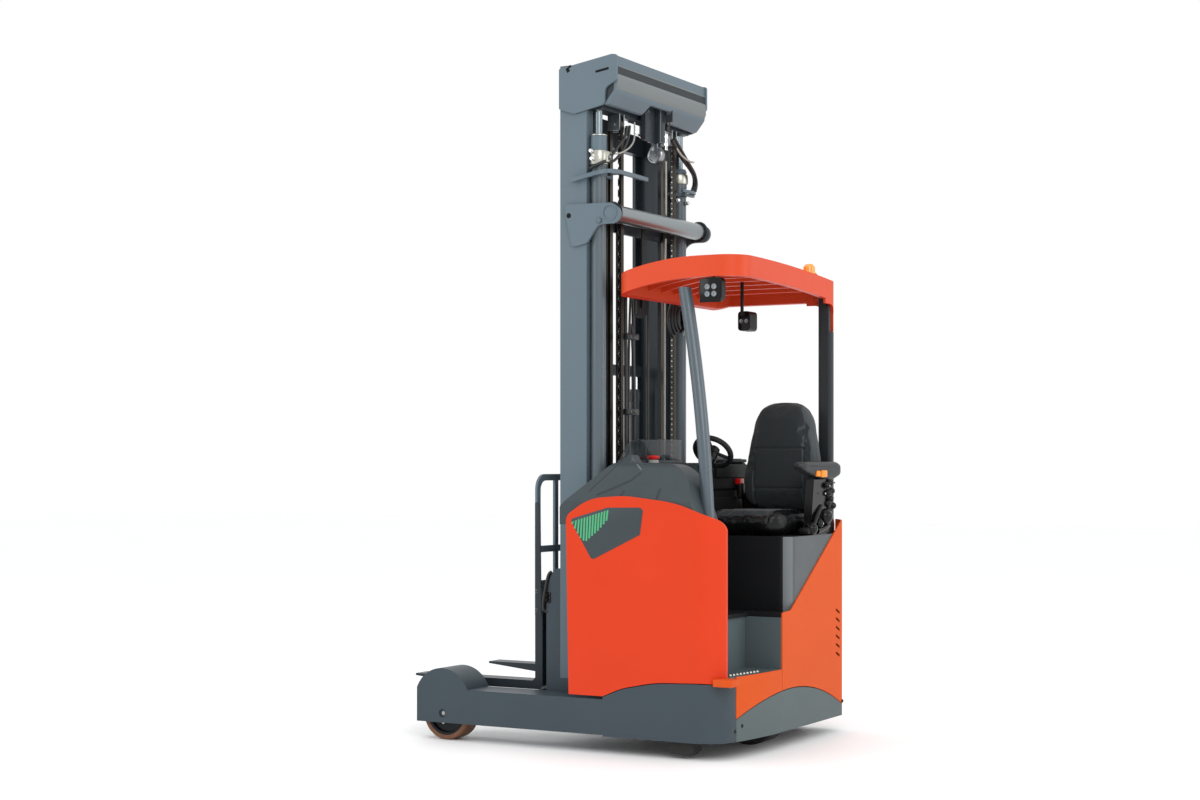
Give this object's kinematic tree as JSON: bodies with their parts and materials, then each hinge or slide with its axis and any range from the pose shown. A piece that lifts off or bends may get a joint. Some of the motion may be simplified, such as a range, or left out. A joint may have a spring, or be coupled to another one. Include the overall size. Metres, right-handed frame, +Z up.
{
  "type": "reach truck",
  "caption": "Sit-down electric reach truck with a triplex mast that slides forward between two wheel legs, an overhead guard and a side-facing seat.",
  "frame": {"origin": "on the floor under the middle of the truck, fork tips and tail the same distance away", "axes": "+X towards the fork tips, +Y to the truck's left, +Z up"},
  "size_m": [1.815, 1.27, 3.1279],
  "materials": {
    "red_paint": "gloss",
    "grey_paint": "satin",
    "dark_grey_paint": "satin",
    "mast_steel_paint": "satin",
    "orange_plastic": "satin",
    "black_plastic": "matte",
    "grey_plastic": "satin",
    "seat_cover": "matte",
    "polyurethane": "satin",
    "drive_tyre_rubber": "matte",
    "hub_iron": "satin",
    "steel": "machined",
    "chrome_rod": "polished",
    "rubber_black": "matte",
    "amber": "clear",
    "stop_red": "gloss",
    "battery_case": "satin"
  },
  "bodies": {
    "chassis": {"armrest": "black_plastic", "armrest_stand": "black_plastic", "battery_hood": "grey_plastic", "battery_pack": "battery_case", "beacon": "amber", "cab_console": "black_plastic", "cab_floor": "black_plastic", "cab_shoulder": "grey_plastic", "chassis_frame": "dark_grey_paint", "drive_deck": "dark_grey_paint", "emergency_stop": "stop_red", "entry_step": "black_plastic", "flank_panel_left": "red_paint", "flank_panel_right": "red_paint", "guard_post_left": "mast_steel_paint", "guard_post_rear": "mast_steel_paint", "leg_left": "grey_paint", "leg_right": "grey_paint", "load_axles": "steel", "overhead_guard": "mast_steel_paint", "rear_panel": "red_paint", "seat_back": "seat_cover", "seat_box": "grey_plastic", "seat_cushion": "seat_cover", "step_fascia": "orange_plastic", "support_feet": "rubber_black", "tail_bumper": "grey_paint", "work_lamps": "black_plastic"},
    "load_wheel_left": {"load_hub_left": "hub_iron", "load_tyre_left": "polyurethane"},
    "load_wheel_right": {"load_hub_right": "hub_iron", "load_tyre_right": "polyurethane"},
    "turntable": {"drive_turntable": "hub_iron", "drive_motor": "dark_grey_paint"},
    "drive_wheel": {"drive_hub": "hub_iron", "drive_tyre": "drive_tyre_rubber"},
    "steering": {"steering_wheel": "black_plastic"},
    "reach": {"reach_carriage": "mast_steel_paint", "mast_head": "mast_steel_paint", "mast_tie": "mast_steel_paint", "outer_rails": "mast_steel_paint", "barrel_clamps": "mast_steel_paint", "lift_barrels": "mast_steel_paint"},
    "mast_middle": {"middle_mast": "mast_steel_paint", "lift_rods": "chrome_rod", "lift_chains": "steel", "chain_sheaves": "steel", "mast_hoses": "rubber_black", "hose_pulley": "black_plastic"},
    "mast_inner": {"inner_mast": "mast_steel_paint", "free_lift_cylinders": "mast_steel_paint"},
    "free_head": {"free_lift_head": "chrome_rod"},
    "carriage": {"lift_carriage": "mast_steel_paint"},
    "shifter": {"side_shifter": "mast_steel_paint"},
    "fork_unit": {"fork_frame": "mast_steel_paint", "forks": "mast_steel_paint", "load_backrest": "mast_steel_paint"}
  },
  "joints": [
    {"name": "load_wheel_left_spin", "type": "hinge", "parent": "chassis", "child": "load_wheel_left", "pos_m": [0.5755, 0.559, 0.125], "axis": [0, 1, 0], "continuous": true},
    {"name": "load_wheel_right_spin", "type": "hinge", "parent": "chassis", "child": "load_wheel_right", "pos_m": [0.5755, -0.559, 0.125], "axis": [0, 1, 0], "continuous": true},
    {"name": "drive_steer", "type": "hinge", "parent": "chassis", "child": "turntable", "pos_m": [-0.7105, 0, 0.4], "axis": [0, 0, 1], "range_deg": [-90, 90]},
    {"name": "drive_wheel_spin", "type": "hinge", "parent": "turntable", "child": "drive_wheel", "pos_m": [-0.7105, 0, 0.16], "axis": [0, 1, 0], "continuous": true},
    {"name": "steering_turn", "type": "hinge", "parent": "chassis", "child": "steering", "pos_m": [-0.4755, -0.06, 1.335], "axis": [0, -0.7431, 0.6691], "continuous": true},
    {"name": "reach_slide", "type": "slide", "parent": "chassis", "child": "reach", "axis": [1, 0, 0], "range_m": [0, 0.56]},
    {"name": "middle_lift", "type": "slide", "parent": "reach", "child": "mast_middle", "axis": [0, 0, 1], "range_m": [0, 2.3]},
    {"name": "inner_lift", "type": "slide", "parent": "mast_middle", "child": "mast_inner", "axis": [0, 0, 1], "range_m": [0, 2.3]},
    {"name": "carriage_lift", "type": "slide", "parent": "mast_inner", "child": "carriage", "axis": [0, 0, 1], "range_m": [0, 2]},
    {"name": "free_lift", "type": "slide", "parent": "mast_inner", "child": "free_head", "axis": [0, 0, 1], "range_m": [0, 1]},
    {"name": "side_shift", "type": "slide", "parent": "carriage", "child": "shifter", "axis": [0, 1, 0], "range_m": [-0.075, 0.075]},
    {"name": "fork_tilt", "type": "hinge", "parent": "shifter", "child": "fork_unit", "pos_m": [0.1405, 0, 0.665], "axis": [0, -1, 0], "range_deg": [-2, 4]}
  ],
  "couplings": [
    {"joint": "inner_lift", "follows": "middle_lift", "ratio": 1},
    {"joint": "free_lift", "follows": "carriage_lift", "ratio": 0.5}
  ]
}
